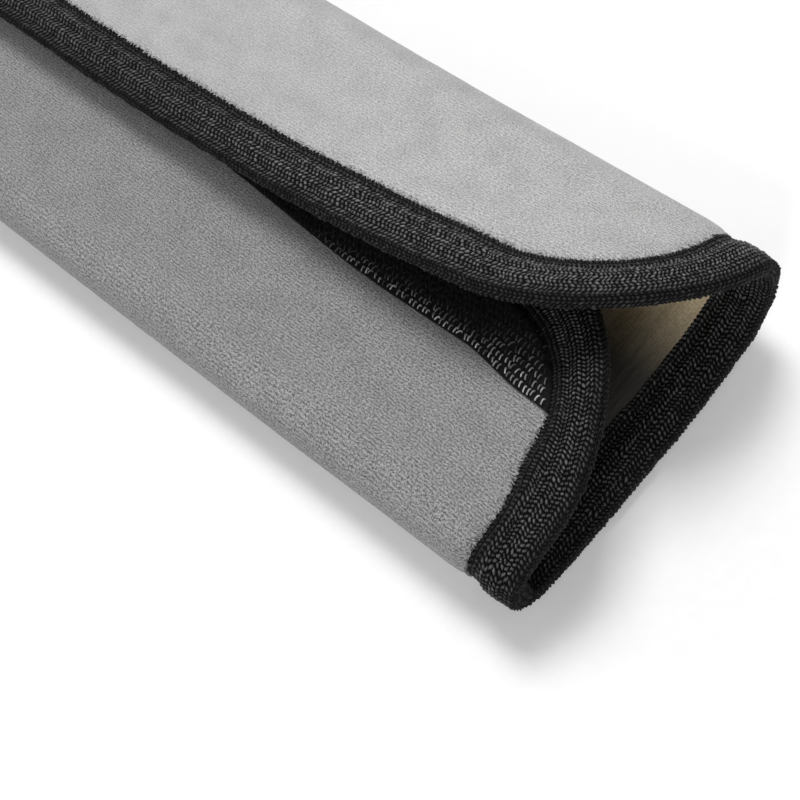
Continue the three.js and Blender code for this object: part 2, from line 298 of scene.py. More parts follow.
# %% Material helpers
class Finish:
    """A material and its node tree, with short words for the nodes that cloth needs."""

    def __init__(self, name):
        self.material = bpy.data.materials.new(name)
        self.material.use_nodes = True
        self.tree = self.material.node_tree
        self.shader = self.tree.nodes["Principled BSDF"]

    def node(self, kind, inputs=None, **settings):
        node = self.tree.nodes.new(kind)
        for key, value in settings.items():
            setattr(node, key, value)
        for key, value in (inputs or {}).items():
            if isinstance(value, bpy.types.NodeSocket):
                self.tree.links.new(value, node.inputs[key])
            else:
                node.inputs[key].default_value = value
        return node

    def flat(self, along=1000.0, across=1000.0, turn=0.0):
        """The flat map, stretched. At 1000 its unit is a millimetre of cloth."""
        place = self.node("ShaderNodeUVMap", uv_map="flat").outputs["UV"]
        inputs = {"Vector": place, "Scale": (along, across, 1), "Rotation": (0, 0, turn)}
        return self.node("ShaderNodeMapping", inputs).outputs["Vector"]

    def noise(self, place, scale, detail=3.0, roughness=0.55):
        inputs = {"Vector": place, "Scale": scale, "Detail": detail, "Roughness": roughness}
        return self.node("ShaderNodeTexNoise", inputs).outputs["Fac"]

    def spread(self, value, low, high, to_low=0.0, to_high=1.0):
        inputs = {"Value": value, "From Min": low, "From Max": high, "To Min": to_low, "To Max": to_high}
        return self.node("ShaderNodeMapRange", inputs).outputs["Result"]

    def smooth(self, value, low, high):
        inputs = {"Value": value, "From Min": low, "From Max": high}
        return self.node("ShaderNodeMapRange", inputs, interpolation_type="SMOOTHSTEP").outputs["Result"]

    def mix(self, share, first, second, kind="MIX"):
        inputs = {"Factor": share, "A": first, "B": second}
        node = self.node("ShaderNodeMix", data_type="RGBA", blend_type=kind)
        for key, value in inputs.items():
            socket = next(s for s in node.inputs if s.name == key and s.enabled)
            if isinstance(value, bpy.types.NodeSocket):
                self.tree.links.new(value, socket)
            else:
                socket.default_value = value
        return next(s for s in node.outputs if s.name == "Result" and s.enabled)

    def maths(self, operation, first, second=0.0):
        node = self.node("ShaderNodeMath", {0: first, 1: second}, operation=operation)
        return node.outputs["Value"]

    def bump(self, height, distance, strength=1.0, below=None):
        inputs = {"Height": height, "Distance": distance, "Strength": strength}
        if below is not None:
            inputs["Normal"] = below
        return self.node("ShaderNodeBump", inputs).outputs["Normal"]

    def put(self, **sockets):
        """Sets the shader's sockets, by name with spaces for underscores."""
        for key, value in sockets.items():
            socket = self.shader.inputs[key.replace("_", " ")]
            if isinstance(value, bpy.types.NodeSocket):
                self.tree.links.new(value, socket)
            else:
                socket.default_value = value


def grey(value):
    """A grey as a linear colour."""
    return (value, value, value, 1)


# %% [markdown]
# ## The plush pad
#
# The cover is short plush over a thin sheet of foam, and the two are felt as one soft pad. A
# cloth simulation would swell it, but the pad is thin and its edge is held all round. Heights in
# code are enough: pressed under the tape, full just past it, and dented where the hook strip is
# sewn down. Small uneven heights keep the light from lying on it like on plastic.

# %% Shape of the pad
STEP_SHARE, STEP_RUN = 0.78, 1.6  # most of the swelling comes at once, at the tape's border
SWELL_SHARE, SWELL_RUN = 0.22, 4.0  # the rest comes slowly, over a longer run
PLUSH_WAVES = 0.35
STRIP_DENT = 0.55  # how far the hook strip sinks into the plush
FOAM_INSIDE = 1.2  # depth of the pad's inner face
UNDER_TAPE = PRESSED_THICKNESS / 2 - 0.35  # room for the gaps between the tape's yarns
PAD_INSET = 0.5
HOOK_RIM = TAPE_WIDTH + STRIP_CLEARANCE
PAD_SPACING = 1.25
TAPE_WIDENING, WIDENING_AT, WIDENING_REACH = 1.6, 28, 6.0  # at the front panel's corner
TAPE_NARROWING = 0.5  # along the closed flap
GAP_STARTS, GAP_WIDE = 22, 70  # where along the sleeve the gap beside the flap starts, and is wide
CORNER_FROM = 86  # where along the sleeve the round corners begin, near enough
PILE_OVER_STRIP, STRIP_BARED = 2.5, 1.5  # how much of the strip the pile covers and leaves bare


def tape_width(x, u):
    """The tape lies wider across the front panel's corner, and narrower along the closed flap."""
    at_corner = TAPE_WIDENING * np.exp(-((u - WIDENING_AT) / WIDENING_REACH) ** 2) * ease((x - 80) / 10)
    along_flap = TAPE_NARROWING * ease((GAP_WIDE - x) / 40) * ease((u - MAT_WIDTH / 2) / 10)
    return TAPE_WIDTH + at_corner - along_flap + 0.15 * uneven(x, u, 9, 8)


def border_width(x, u, in_x, in_u):
    """The tape's width beside a place on the rim, asked for where the tape's border lies."""
    return tape_width(x + in_x * TAPE_WIDTH, u + in_u * TAPE_WIDTH)


def fullness(x, u):
    """0 where the tape presses the mat most, 1 where the mat is full."""
    border = rim_distance(x, u) - tape_width(x, u)
    return STEP_SHARE * ease((border + 0.25) / STEP_RUN) + SWELL_SHARE * ease(border / SWELL_RUN)


def strip_edge(x):
    """Where the strip ends and the pile begins: more pile under the closed flap, less at the open end."""
    covered = PILE_OVER_STRIP * (1 - ease((x - GAP_STARTS) / (GAP_WIDE - GAP_STARTS)))
    bared = STRIP_BARED * ease((x - CORNER_FROM) / 15)
    return HOOK_RIM + HOOK_WIDTH - covered + bared


def plush_height(x, u):
    """How far the plush stands out from the middle of the mat."""
    height = UNDER_TAPE + (MAT / 2 - UNDER_TAPE) * fullness(x, u)
    on_strip = ease((u - HOOK_RIM + 1.5) / 1.5) * ease((strip_edge(x) + 0.9 - u) / 1.2)
    dent = STRIP_DENT * on_strip
    waves = 0.5 + 0.28 * uneven(x, u, 34, 1) + 0.14 * uneven(x, u, 11, 2) + 0.08 * uneven(x, u, 3, 3)
    return height - dent - PLUSH_WAVES * np.clip(waves, 0, 1) * fullness(x, u)


pad_stations = np.linspace(PAD_INSET, MAT_WIDTH - PAD_INSET, int(MAT_WIDTH / PAD_SPACING) + 1)
pad_x, pad_u = blank(pad_stations, PAD_SPACING, lambda u: half_row(u, PAD_INSET))
pad_inside = FOAM_INSIDE * (0.2 + 0.8 * fullness(pad_x, pad_u))
plush_pad = slab("plush_pad", pad_x, pad_u, -plush_height(pad_x, pad_u), pad_inside)
finish_piece(plush_pad, "grey_plush", "outer_cover", "foam_core")

# %% [markdown]
# ## Plush finish
#
# Short pile scatters light, so it looks matt and a little lighter where it is seen edge on. Sheen
# on the shader does that. The pile is brushed in one direction, which shows as short streaks along
# the sleeve. The front panel's pile is painted darker than the flap's, as painted shade. Towards
# the open end hands have ruffled it, so its light and dark tips differ more there. Soft smudges lie
# over it all.

# %% Plush material
RIB_PITCH = 0.52  # of the faint ribs in the pile

plush = Finish("grey_plush")
grain = plush.noise(plush.flat(900, 1700), 2.1, detail=2, roughness=0.6)
tufts = plush.noise(plush.flat(1100, 1400), 4.0, detail=1)
clouds = plush.noise(plush.flat(), 0.06, detail=2)
smudges = plush.noise(plush.flat(1000, 1300), 0.17, detail=3)
place = plush.node("ShaderNodeSeparateXYZ", {"Vector": plush.flat()})
across_mat = place.outputs["Y"]
# 0 on the front panel, whose pile is painted darker as painted shade, and 1 on the flap.
flap_share = plush.smooth(across_mat, 62, 100)
wander = plush.maths("MULTIPLY", plush.noise(plush.flat(), 0.5, detail=1), 9.0)
rib_turns = plush.maths("MULTIPLY", across_mat, 2 * math.pi / RIB_PITCH)
ribs = plush.maths("SINE", plush.maths("ADD", rib_turns, wander))
streaks = plush.maths("ADD", plush.maths("MULTIPLY", grain, 0.5), plush.maths("MULTIPLY", tufts, 0.5))
streaks = plush.maths("ADD", streaks, plush.maths("MULTIPLY", ribs, 0.03))
lively = plush.smooth(place.outputs["X"], -40, 110)
tips = plush.spread(streaks, 0.40, 0.60)
dark_roots = plush.mix(lively, grey(0.125), grey(0.095))
dark_tips = plush.mix(lively, grey(0.40), grey(0.45))
light_roots = plush.mix(lively, grey(0.42), grey(0.28))
light_tips = plush.mix(lively, grey(0.53), grey(0.67))
# Painted shade: the front panel's pile is mixed from the darker roots and tips.
dark_pile = plush.mix(tips, dark_roots, dark_tips)
light_pile = plush.mix(tips, light_roots, light_tips)
pile_colour = plush.mix(flap_share, dark_pile, light_pile)
pile_colour = plush.mix(plush.spread(clouds, 0.35, 0.65, 0.0, 0.6), pile_colour, grey(0.93), "MULTIPLY")
pile_colour = plush.mix(plush.spread(smudges, 0.42, 0.66, 0.0, 0.8), pile_colour, grey(0.87), "MULTIPLY")
pile_bump = plush.bump(tufts, 0.0002, 0.5)
plush.put(
    Base_Color=pile_colour,
    Roughness=plush.spread(grain, 0.3, 0.7, 0.85, 1.0),
    Normal=plush.bump(grain, 0.0004, 0.8, below=pile_bump),
    Sheen_Weight=0.25,
    Sheen_Roughness=0.5,
    Specular_IOR_Level=0.15,
)
plush_pad.data.materials.append(plush.material)

# %% [markdown]
# ## The lining
#
# The belt runs on a thin tan knit. It is one sheet, the size of the mat, folded with it. Inside a
# fold the sheet has less room than outside, so it buckles into fine ridges along the fold. The
# knit is tan behind the belt. Along the bottom and the front it is painted nearly black, as painted
# shade deep inside the sleeve. So its colour changes across the mat, and a bump adds fine creases.

# %% Shape of the lining
LINING_THICKNESS = 0.5
LINING_SPACING = 1.8
LINING_RIDGES, LINING_WAVES = 0.35, 0.2


def lining_depth(x, u):
    """Depth of the lining's free face."""
    depth = UNDER_TAPE + (MAT / 2 - UNDER_TAPE) * fullness(x, u)
    in_front_fold = ease((u - PANEL_WIDTH) / 3) * ease((AT_BOTTOM - u) / 3)
    in_back_fold = ease((u - AT_BACK_FOLD) / 3) * ease((AT_FLAP - u) / 3)
    ridges = np.abs(uneven(x / 6, u, 2.4, 4)) * (in_front_fold + in_back_fold)
    waves = 0.5 + 0.5 * uneven(x, u, 16, 5)
    return depth - (LINING_RIDGES * ridges + LINING_WAVES * waves) * fullness(x, u)


lining_stations = np.linspace(PAD_INSET, MAT_WIDTH - PAD_INSET, int(MAT_WIDTH / LINING_SPACING) + 1)
lining_x, lining_u = blank(lining_stations, LINING_SPACING, lambda u: half_row(u, PAD_INSET))
lining_face = lining_depth(lining_x, lining_u)
lining_back = lining_face - LINING_THICKNESS * (0.5 + 0.4 * fullness(lining_x, lining_u))
tan_lining = slab("tan_lining", lining_x, lining_u, lining_back, lining_face)
finish_piece(tan_lining, "tan_lining", "inner_lining")

# %% Lining material
TAN, TAN_IN_HOLES = (0.93, 0.80, 0.54, 1), (0.64, 0.53, 0.35, 1)
# Painted shade for the knit deep inside the sleeve.
PAINTED_SHADE_BLACK = (0.028, 0.027, 0.025, 1)
WORN_BROWN = (0.78, 0.73, 0.66, 1)

knit = Finish("tan_knit")
stitch_cells = {"Vector": knit.flat(1800, 2300), "Scale": 1.0, "Randomness": 0.5}
knit_holes = knit.node("ShaderNodeTexVoronoi", stitch_cells).outputs["Distance"]
knit_shade = knit.noise(knit.flat(), 0.12, detail=3)
knit_fibres = knit.noise(knit.flat(), 5.0, detail=2)
knit_colour = knit.mix(knit.spread(knit_holes, 0.15, 0.7), TAN, TAN_IN_HOLES)
across_knit = knit.node("ShaderNodeSeparateXYZ", {"Vector": knit.flat()}).outputs["Y"]
# Painted shade: the knit is nearly black along the front and the bottom, and tan from the back fold on.
tan_share = knit.smooth(across_knit, AT_MIDDLE + 8, AT_BACK_FOLD + 11)
knit_colour = knit.mix(tan_share, PAINTED_SHADE_BLACK, knit_colour)
knit_wear = knit.spread(knit_shade, 0.35, 0.65, 0.0, 0.7)
knit_colour = knit.mix(knit_wear, knit_colour, WORN_BROWN, "MULTIPLY")
knit_creases = knit.noise(knit.flat(420, 90, turn=0.5), 1.0, detail=3)
knit.put(
    Base_Color=knit_colour,
    Roughness=knit.spread(knit_fibres, 0.3, 0.7, 0.6, 0.85),
    Normal=knit.bump(knit_creases, 0.0012, 0.6),
    Sheen_Weight=0.2,
    Specular_IOR_Level=0.3,
)
tan_lining.data.materials.append(knit.material)

# %% [markdown]
# ## The binding tape
#
# A woven tape about 22 mm wide is folded over the rim and sewn through, all round the mat. Seen
# close, its yarns make a herringbone. Each yarn shows as a line of small knots, its neighbour's
# knots lie a step further on, and after every two yarns the slant turns round. Towards the open
# end the knots have been worked loose and look rounder.
#
# A bump map could draw that, but the edge of the tape would stay smooth and the gaps between the
# yarns would stay light. So the yarns are real here. The section is walked round the rim, and each
# point is raised where a knot lies on top. The tape comes as four lengths that meet in the middle
# of each side of the mat, which keeps each mesh small enough.

# %% The rim as a path
YARN_PITCH = 0.74  # across the tape
KNOT_PITCH = 0.80  # along the tape, from one knot of a yarn to the next
PATH_STEP = 0.235
YARN_RELIEF = 0.42
HERRINGBONE_YARNS = 2  # before the slant turns round
YARN_SHIFT = 0.62  # of a knot, from one yarn to the next
YARN_COLUMNS = 3  # columns of points on each yarn


def rim_path():
    """Steps round the rim, from the middle of the flap's rim past the open end.

    It returns x, u, which way is inwards, and the distance along the rim.
    """
    straight_x, straight_u = HALF_LENGTH - CORNER_RADIUS, MAT_WIDTH / 2 - CORNER_RADIUS
    quarter = math.pi / 2 * CORNER_RADIUS
    total = 4 * (straight_x + straight_u + quarter)
    count = int(total / PATH_STEP / 16) * 16  # for four equal lengths of tape
    s = np.arange(count) * total / count
    out = np.empty((count, 5))
    legs = [(straight_x, (0, 1), (0, 1)), (quarter, (1, 1), None), (2 * straight_u, (1, 1), (1, 0)),
            (quarter, (1, -1), None), (2 * straight_x, (1, -1), (0, -1)), (quarter, (-1, -1), None),
            (2 * straight_u, (-1, -1), (-1, 0)), (quarter, (-1, 1), None), (straight_x, (-1, 1), (0, 1))]
    start, angle = 0.0, math.pi / 2
    for index, (length, corner, face) in enumerate(legs):
        here = (s >= start - 1e-9) & (s < start + length - 1e-9)
        along = s[here] - start
        centre = np.array([corner[0] * straight_x, corner[1] * straight_u])
        if index == 0:
            centre[0] = 0
        if face is None:
            turned = angle - along / CORNER_RADIUS
            normal = np.stack([np.cos(turned), np.sin(turned)], axis=-1)
            place = centre + CORNER_RADIUS * normal
            angle -= math.pi / 2
        else:
            normal = np.tile(np.array(face, float), (len(along), 1))
            heading = np.array([face[1], -face[0]], float)
            place = centre + CORNER_RADIUS * normal + along[:, None] * heading
        out[here] = np.column_stack([place, -normal, s[here]])
        start += length
    x, v, in_x, in_v, s = out.T
    return x, v + MAT_WIDTH / 2, in_x, in_v, s


rim_x, rim_u, rim_in_x, rim_in_u, rim_s = rim_path()
RIM_LENGTH = rim_s[1] * len(rim_s)
KNOTS_ROUND = round(RIM_LENGTH / KNOT_PITCH)
print(f"the rim is {RIM_LENGTH:.0f} mm round, in {len(rim_s)} steps")


def on_rim(along):
    """Places on the rim at distances along it: x, u, and which way is inwards."""
    wrapped = np.append(rim_s, RIM_LENGTH)
    return [np.interp(along, wrapped, np.append(v, v[0])) for v in (rim_x, rim_u, rim_in_x, rim_in_u)]


# %% [markdown]
# The section of the tape is a U. It starts at the outer border, goes round the rim and ends at the
# inner border, then comes back along the inside. A seam near each border pinches it.

# %% Section of the tape
SEAM_INSET = 1.1  # the seam's distance from the tape's border
TAPE_BODY = 0.6  # from the tape's outside to its hidden inside
NOSE_REACH = 0.65  # how far the tape stands past the rim of the mat
SEAM_PINCH, NOSE_PINCH = 0.62, 0.30  # how far the tape is drawn down there


def tape_height(inward):
    """How far the tape's outside stands from mid mat: full in the middle, drawn down at the seam."""
    at_seam = SEAM_PINCH * ease((inward - 5.2) / 2.6)
    at_nose = NOSE_PINCH * ease((3.2 - inward) / 3.2)
    return TAPE_OUTSIDE - 0.02 - at_seam - at_nose


def tape_profile():
    """Points round the U: how far in, how deep, which way is out, and the place across the tape."""
    nose_angles = np.linspace(0, np.pi, 400)
    nose = np.stack([-NOSE_REACH * np.sin(nose_angles), -tape_height(0) * np.cos(nose_angles)], axis=-1)
    legs = np.linspace(TAPE_WIDTH, 0, 300)[:-1]
    line = np.concatenate([
        np.stack([legs, -tape_height(legs)], axis=-1),
        nose,
        np.stack([legs[::-1], tape_height(legs[::-1])], axis=-1),
    ])
    run = np.concatenate([[0], np.cumsum(np.hypot(*np.diff(line, axis=0).T))])
    yarns = int(run[-1] / YARN_PITCH)
    across = np.linspace(0, run[-1], YARN_COLUMNS * yarns + 1)
    inward, depth = (np.interp(across, run, line[:, i]) for i in (0, 1))
    tangent = np.stack([np.gradient(inward, across), np.gradient(depth, across)], axis=-1)
    tangent /= np.linalg.norm(tangent, axis=1)[:, None]
    out = np.stack([-tangent[:, 1], tangent[:, 0]], axis=-1)
    if out[0, 1] > 0:
        out = -out
    return inward, depth, out, across


tape_in, tape_depth, tape_out, tape_across = tape_profile()
print(f"the tape is {tape_across[-1]:.1f} mm wide, with {len(tape_across) // YARN_COLUMNS} yarns")


# %% Weave and build the tape
TOOTH = 0.26  # of the tape's toothed border
YARN_WANDER = 0.13  # how far the yarns stray across the tape
TAPE_WAVES = 0.12
BUNCHED, BUNCHED_REACH = 1.15, 3.2  # how much it bunches up inside the front fold, and how far along


def weave(column, s, across, worked):
    """Height of the weave from 0 to 1: a line of rounded knots on each yarn.

    worked is 0 where the tape lies as woven and 1 where use has loosened its knots.
    """
    yarn = column // YARN_COLUMNS
    turns = np.abs((column / YARN_COLUMNS) % (2 * HERRINGBONE_YARNS) - HERRINGBONE_YARNS)
    phase = s * KNOTS_ROUND / RIM_LENGTH + YARN_SHIFT * turns
    phase = phase + (0.18 + 0.27 * worked) * uneven(s, across, 1.8, 6)
    knot = np.clip(0.58 + 0.8 * np.cos(2 * np.pi * phase), 0, 1)
    size = np.random.default_rng(9).uniform(0.6, 1.0, (4096, 64))
    size = size[np.round(phase).astype(int) % 4096, yarn % 64]
    return knot * size * np.where(column % YARN_COLUMNS == 0, 0.55 - 0.3 * worked, 1.0)


def tape_length(name, first, last):
    """One length of the tape, woven round part of the rim. Its open ends meet the next lengths."""
    row = np.arange(first, last + 1)
    index = row % len(rim_s)
    s = (row * rim_s[1])[:, None]
    column = np.arange(len(tape_across))[None, :]
    wider = (border_width(rim_x, rim_u, rim_in_x, rim_in_u) / TAPE_WIDTH - 1)[index][:, None]
    at_fold = (rim_x > 0) * np.exp(-((rim_u - PANEL_WIDTH - FRONT_FOLD / 2) / BUNCHED_REACH) ** 2)
    bunched = at_fold[index][:, None]
    worked = ease((rim_x[index][:, None] + 30) / 80)
    height = weave(column, s % RIM_LENGTH, tape_across[None, :], worked)
    at_border = ease(np.minimum(column, len(tape_across) - 1 - column) / 5)
    waves = TAPE_WAVES * (0.5 + 0.5 * uneven(s % RIM_LENGTH, tape_across[None, :], 7.0, 7))
    sink = YARN_RELIEF * (1 - height) * (0.6 + 0.4 * at_border) + waves
    inward = tape_in[None, :] - sink * tape_out[None, :, 0]
    inward = inward + YARN_WANDER * uneven(s % RIM_LENGTH, tape_across[None, :], 1.5, 14)
    depth = tape_depth[None, :] - sink * tape_out[None, :, 1]
    tooth = TOOTH * np.cos(2 * np.pi * s * KNOTS_ROUND / RIM_LENGTH)
    tooth = tooth * (0.7 + 0.3 * uneven(s % RIM_LENGTH, 0.0 * s, 1.7, 10))
    inward = inward + tooth * np.isin(column, (0, len(tape_across) - 1))
    hidden_in = np.array([TAPE_WIDTH, 6.0, 3.0, 0.3, 0.3, 3.0, 6.0, TAPE_WIDTH])
    hidden_depth = np.array([1, 1, 1, 1, -1, -1, -1, -1]) * (tape_height(hidden_in) - TAPE_BODY)
    rows = len(index)
    stretched = 1 + wider * np.clip(inward / TAPE_WIDTH, 0, 1) ** 3
    inward = inward * np.where(tape_depth[None, :] < 0, stretched, 1.0)
    depth = np.where(depth > 0, depth * (1 + BUNCHED * bunched), depth)
    inward = np.concatenate([inward, np.tile(hidden_in, (rows, 1))], axis=1)
    depth = np.concatenate([depth, np.tile(hidden_depth, (rows, 1))], axis=1)
    height = np.concatenate([height, np.zeros((rows, len(hidden_in)))], axis=1)
    across = np.concatenate([tape_across, tape_across[-1] - TAPE_WIDTH + hidden_in])
    x = rim_x[index][:, None] + rim_in_x[index][:, None] * inward
    u = rim_u[index][:, None] + rim_in_u[index][:, None] * inward
    points = fold(x, u, depth)
    columns = inward.shape[1]
    faces = quads(rows, columns, wrap=True)
    flat = np.stack(np.broadcast_arrays(s, across[None, :]), axis=-1).reshape(-1, 2)
    return make_mesh(name, points, faces[:, ::-1], flat, np.clip(height, 0, 1).ravel())


quarter_rows = len(rim_s) // 4
tapes = []
for turn, place_name in enumerate(("flap_open_end", "front_open_end", "front_far_end", "flap_far_end")):
    tapes.append(tape_length(f"binding_tape_{place_name}", turn * quarter_rows, (turn + 1) * quarter_rows))
    finish_piece(tapes[-1], "black_webbing", "binding_tape")

# %% [markdown]
# The colour follows the weave: the tops of the knots are painted pale, as painted light, and the
# gaps black, as painted shade. The height of each point is kept with the mesh for that. The tape is
# also painted darker at the border, as painted shade where the plush stands over it, and from the
# nose of the tape inwards, as painted shade on the side turned from the light. The stretch that
# hands take hold of, along the flap to the open end, is rubbed a little paler.

# %% Webbing material
webbing = Finish("black_webbing")
relief = webbing.node("ShaderNodeAttribute", attribute_name="relief").outputs["Fac"]
yarn_noise = webbing.noise(webbing.flat(900, 1600), 1.1, detail=2)
fibre = webbing.noise(webbing.flat(1500, 9000, turn=0.5), 1.0, detail=2)
tape_place = webbing.node("ShaderNodeSeparateXYZ", {"Vector": webbing.flat()})
along_tape, across_tape = tape_place.outputs["X"], tape_place.outputs["Y"]
handled = webbing.maths("SUBTRACT", webbing.smooth(along_tape, 5, 60), webbing.smooth(along_tape, 180, 212))
knot_top = webbing.mix(handled, grey(0.15), grey(0.235))
# Painted shade at the plush side's border and from the nose of the tape inwards.
painted_border_shade = webbing.spread(across_tape, 0.8, 2.6, 0.7, 0.0)
painted_nose_shade = webbing.maths("SUBTRACT", webbing.spread(across_tape, 6.8, 9.4, 0.0, 0.72),
                        webbing.spread(across_tape, 12.0, 15.0, 0.0, 0.30))
# Painted light on the knots' tops and painted shade in the gaps between them.
webbing_colour = webbing.mix(webbing.spread(relief, 0.28, 0.82), grey(0.0005), knot_top)
webbing_colour = webbing.mix(webbing.spread(yarn_noise, 0.36, 0.64), webbing_colour, grey(0.5), "MULTIPLY")
webbing_colour = webbing.mix(webbing.maths("MAXIMUM", painted_border_shade, painted_nose_shade), webbing_colour, grey(0.004))
webbing.put(
    Base_Color=webbing_colour,
    Roughness=webbing.spread(fibre, 0.3, 0.7, 0.42, 0.7),
    Normal=webbing.bump(fibre, 0.00008, 0.8),
    Specular_IOR_Level=0.05,
)
for tape in tapes:
    tape.data.materials.append(webbing.material)

# %% [markdown]
# ## The hook strip
#
# A narrow woven strip is sewn to the front panel. Stiff nylon hooks stand on it in rows, each bent
# over like a walking stick. A particle system could scatter them, but real hooks stand in strict
# rows, so they are laid out row by row and joined into one mesh. The outer rows stand taller.
# Towards the open end some hooks of the outer rows are painted pale, as painted light, and more of
# them near the end; the rest stay black.

# %% Base of the hook strip
HOOK_BASE = 0.35
HOOK_BASE_GAP = 0.12  # between the plush and the strip
SELVEDGE = 0.6  # bare edge of the strip, without hooks


def hook_seat(x, u):
    """How far the top of the strip's base stands out from the middle of the mat."""
    return plush_height(x, u) + HOOK_BASE_GAP + HOOK_BASE


def hook_half(u):
    """Half the length of the strip at u. Its ends lie a little under the tape."""
    return half_row(u, TAPE_WIDTH - 0.7)


def across_strip(x, u):
    """Where a place of the even strip comes to lie, as the strip's width changes along it."""
    return HOOK_RIM + (u - HOOK_RIM) * (strip_edge(x) - HOOK_RIM) / HOOK_WIDTH


base_stations = HOOK_RIM + np.linspace(0, HOOK_WIDTH, 29)
base_x, base_u = blank(base_stations, 0.9, hook_half)
base_u = across_strip(base_x, base_u)
base_top = hook_seat(base_x, base_u)
base_ribs = 0.07 * np.cos(np.arange(len(base_stations)) * np.pi)[:, None]
hook_base = slab("hook_strip_base", base_x, base_u, -(base_top + base_ribs), -(base_top - HOOK_BASE))
finish_piece(hook_base, "black_hooks", "hook_strip")


# %% Hooks, row by row
def tubes(name, paths, radius, sides, flat=None, relief=None):
    """Closed tubes along many paths at once. paths is (tube, step, 3) in metres, the radius in millimetres.

    flat is the place of each tube on the flat mat, and relief is one value for each tube.
    """
    count, steps, _ = paths.shape
    tangent = np.gradient(paths, axis=1)
    tangent /= np.linalg.norm(tangent, axis=2, keepdims=True)
    chord = paths[:, -1] - paths[:, 0] + 1e-9
    bend = paths[:, steps // 2] - (paths[:, 0] + paths[:, -1]) / 2 + 1e-7
    side = np.cross(chord, bend)
    side /= np.linalg.norm(side, axis=1, keepdims=True)
    side = np.broadcast_to(side[:, None, :], paths.shape)
    up = np.cross(tangent, side)
    up /= np.linalg.norm(up, axis=2, keepdims=True)
    angle = np.arange(sides) * 2 * np.pi / sides
    ring = np.cos(angle)[:, None] * side[:, :, None, :] + np.sin(angle)[:, None] * up[:, :, None, :]
    radii = np.broadcast_to(np.asarray(radius) * MILLIMETRE, (count, steps))
    points = paths[:, :, None, :] + radii[..., None, None] * ring
    first = (np.arange(count) * steps * sides)[:, None, None]
    faces = (quads(steps, sides, wrap=True)[None] + first).reshape(-1, 4)
    start = first[:, :, 0] + np.arange(sides)[::-1]
    end = first[:, :, 0] + (steps - 1) * sides + np.arange(sides)
    all_faces = faces.tolist() + start.tolist() + end.tolist()
    each = steps * sides
    flat = None if flat is None else np.repeat(flat, each, axis=0)
    relief = None if relief is None else np.repeat(relief, each)
    return make_mesh(name, points, all_faces, flat, relief)


HOOK_ROW_PITCH = 0.98
HOOK_HEIGHT = 0.65
HOOK_REACH = 1.0
HOOK_COLUMNS = 8
HOOK_RADIUS = 0.13
WALKING_STICK = np.array([  # how far out and how high, as shares of a hook's reach and height
    (0, -0.1), (0.0, 0.6), (0.1, 0.9), (0.35, 1.0), (0.72, 0.98), (0.97, 0.82), (1.0, 0.62),
])


def hook_paths():
    """Lines of all the hooks, and how much painted light each of them gets."""
    chance = np.random.default_rng(11)
    column_u = HOOK_RIM + np.linspace(SELVEDGE, HOOK_WIDTH - 0.15 - HOOK_REACH, HOOK_COLUMNS)
    paths, light_shares = [], []
    for column, u in enumerate(column_u):
        reach_x = hook_half(u) - 1.0
        rows = int(2 * reach_x / HOOK_ROW_PITCH)
        x = (np.arange(rows) - (rows - 1) // 2) * HOOK_ROW_PITCH
        x = x + chance.normal(0, 0.1, rows)
        foot_u = across_strip(x, u) + chance.normal(0, 0.07, rows)
        lean = chance.normal(0.1, 0.2, rows)
        toward = chance.uniform(0.7, 1.0, rows)
        outer = (column + 1) / HOOK_COLUMNS
        tall = HOOK_HEIGHT * chance.uniform(0.88, 1.0, rows) * (0.55 + 0.45 * outer)
        # Painted light: the outer rows towards the open end are painted pale.
        lit_rows = outer ** 9 + ease((x - CORNER_FROM) / 12) * outer ** 2.4
        painted_lit = ease((x - 50) / 25) * np.clip(lit_rows, 0, 1)
        light_shares.append(painted_lit * chance.uniform(0, 1, rows) ** (0.45 + 1.6 * (1 - outer)))
        stick_out, stick_up = WALKING_STICK.T
        path_u = foot_u[:, None] + HOOK_REACH * toward[:, None] * stick_out
        path_x = x[:, None] + lean[:, None] * stick_out
        top = hook_seat(x, foot_u)[:, None] + tall[:, None] * stick_up
        paths.append(fold(path_x, path_u, -top))
    return np.concatenate(paths), np.concatenate(light_shares)


hook_lines, hook_painted_light = hook_paths()
# The relief value of each hook carries its share of painted light.
hooks = tubes("nylon_hooks", hook_lines, HOOK_RADIUS, 4, relief=hook_painted_light)
finish_piece(hooks, "black_hooks", "hook_strip")
print("hooks:", len(hook_lines))

# %% Nylon and strip materials
nylon = Finish("black_nylon")
nylon_place = nylon.node("ShaderNodeTexCoord").outputs["Object"]
nylon_noise = nylon.noise(nylon_place, 900, detail=2)
painted_hook_light = nylon.node("ShaderNodeAttribute", attribute_name="relief").outputs["Fac"]
# Painted light: lit hooks are painted pale grey over the black nylon.
pale = nylon.maths("MULTIPLY", painted_hook_light, nylon.spread(nylon_noise, 0.35, 0.65, 0.5, 1.0))
nylon.put(
    Base_Color=nylon.mix(pale, grey(0.006), grey(0.68)),
    Roughness=nylon.spread(nylon_noise, 0.3, 0.7, 0.35, 0.5),
    Specular_IOR_Level=0.08,
)
hooks.data.materials.append(nylon.material)

strip_cloth = Finish("black_strip_cloth")
strip_noise = strip_cloth.noise(strip_cloth.flat(), 2.0, detail=2)
strip_weave = strip_cloth.noise(strip_cloth.flat(1500, 600), 1.4, detail=1)
strip_cloth.put(
    Base_Color=strip_cloth.mix(strip_cloth.spread(strip_noise, 0.3, 0.7), grey(0.004), grey(0.015)),
    Roughness=strip_cloth.spread(strip_noise, 0.3, 0.7, 0.6, 0.85),
    Normal=strip_cloth.bump(strip_weave, 0.0002, 0.6),
    Specular_IOR_Level=0.06,
)
hook_base.data.materials.append(strip_cloth.material)

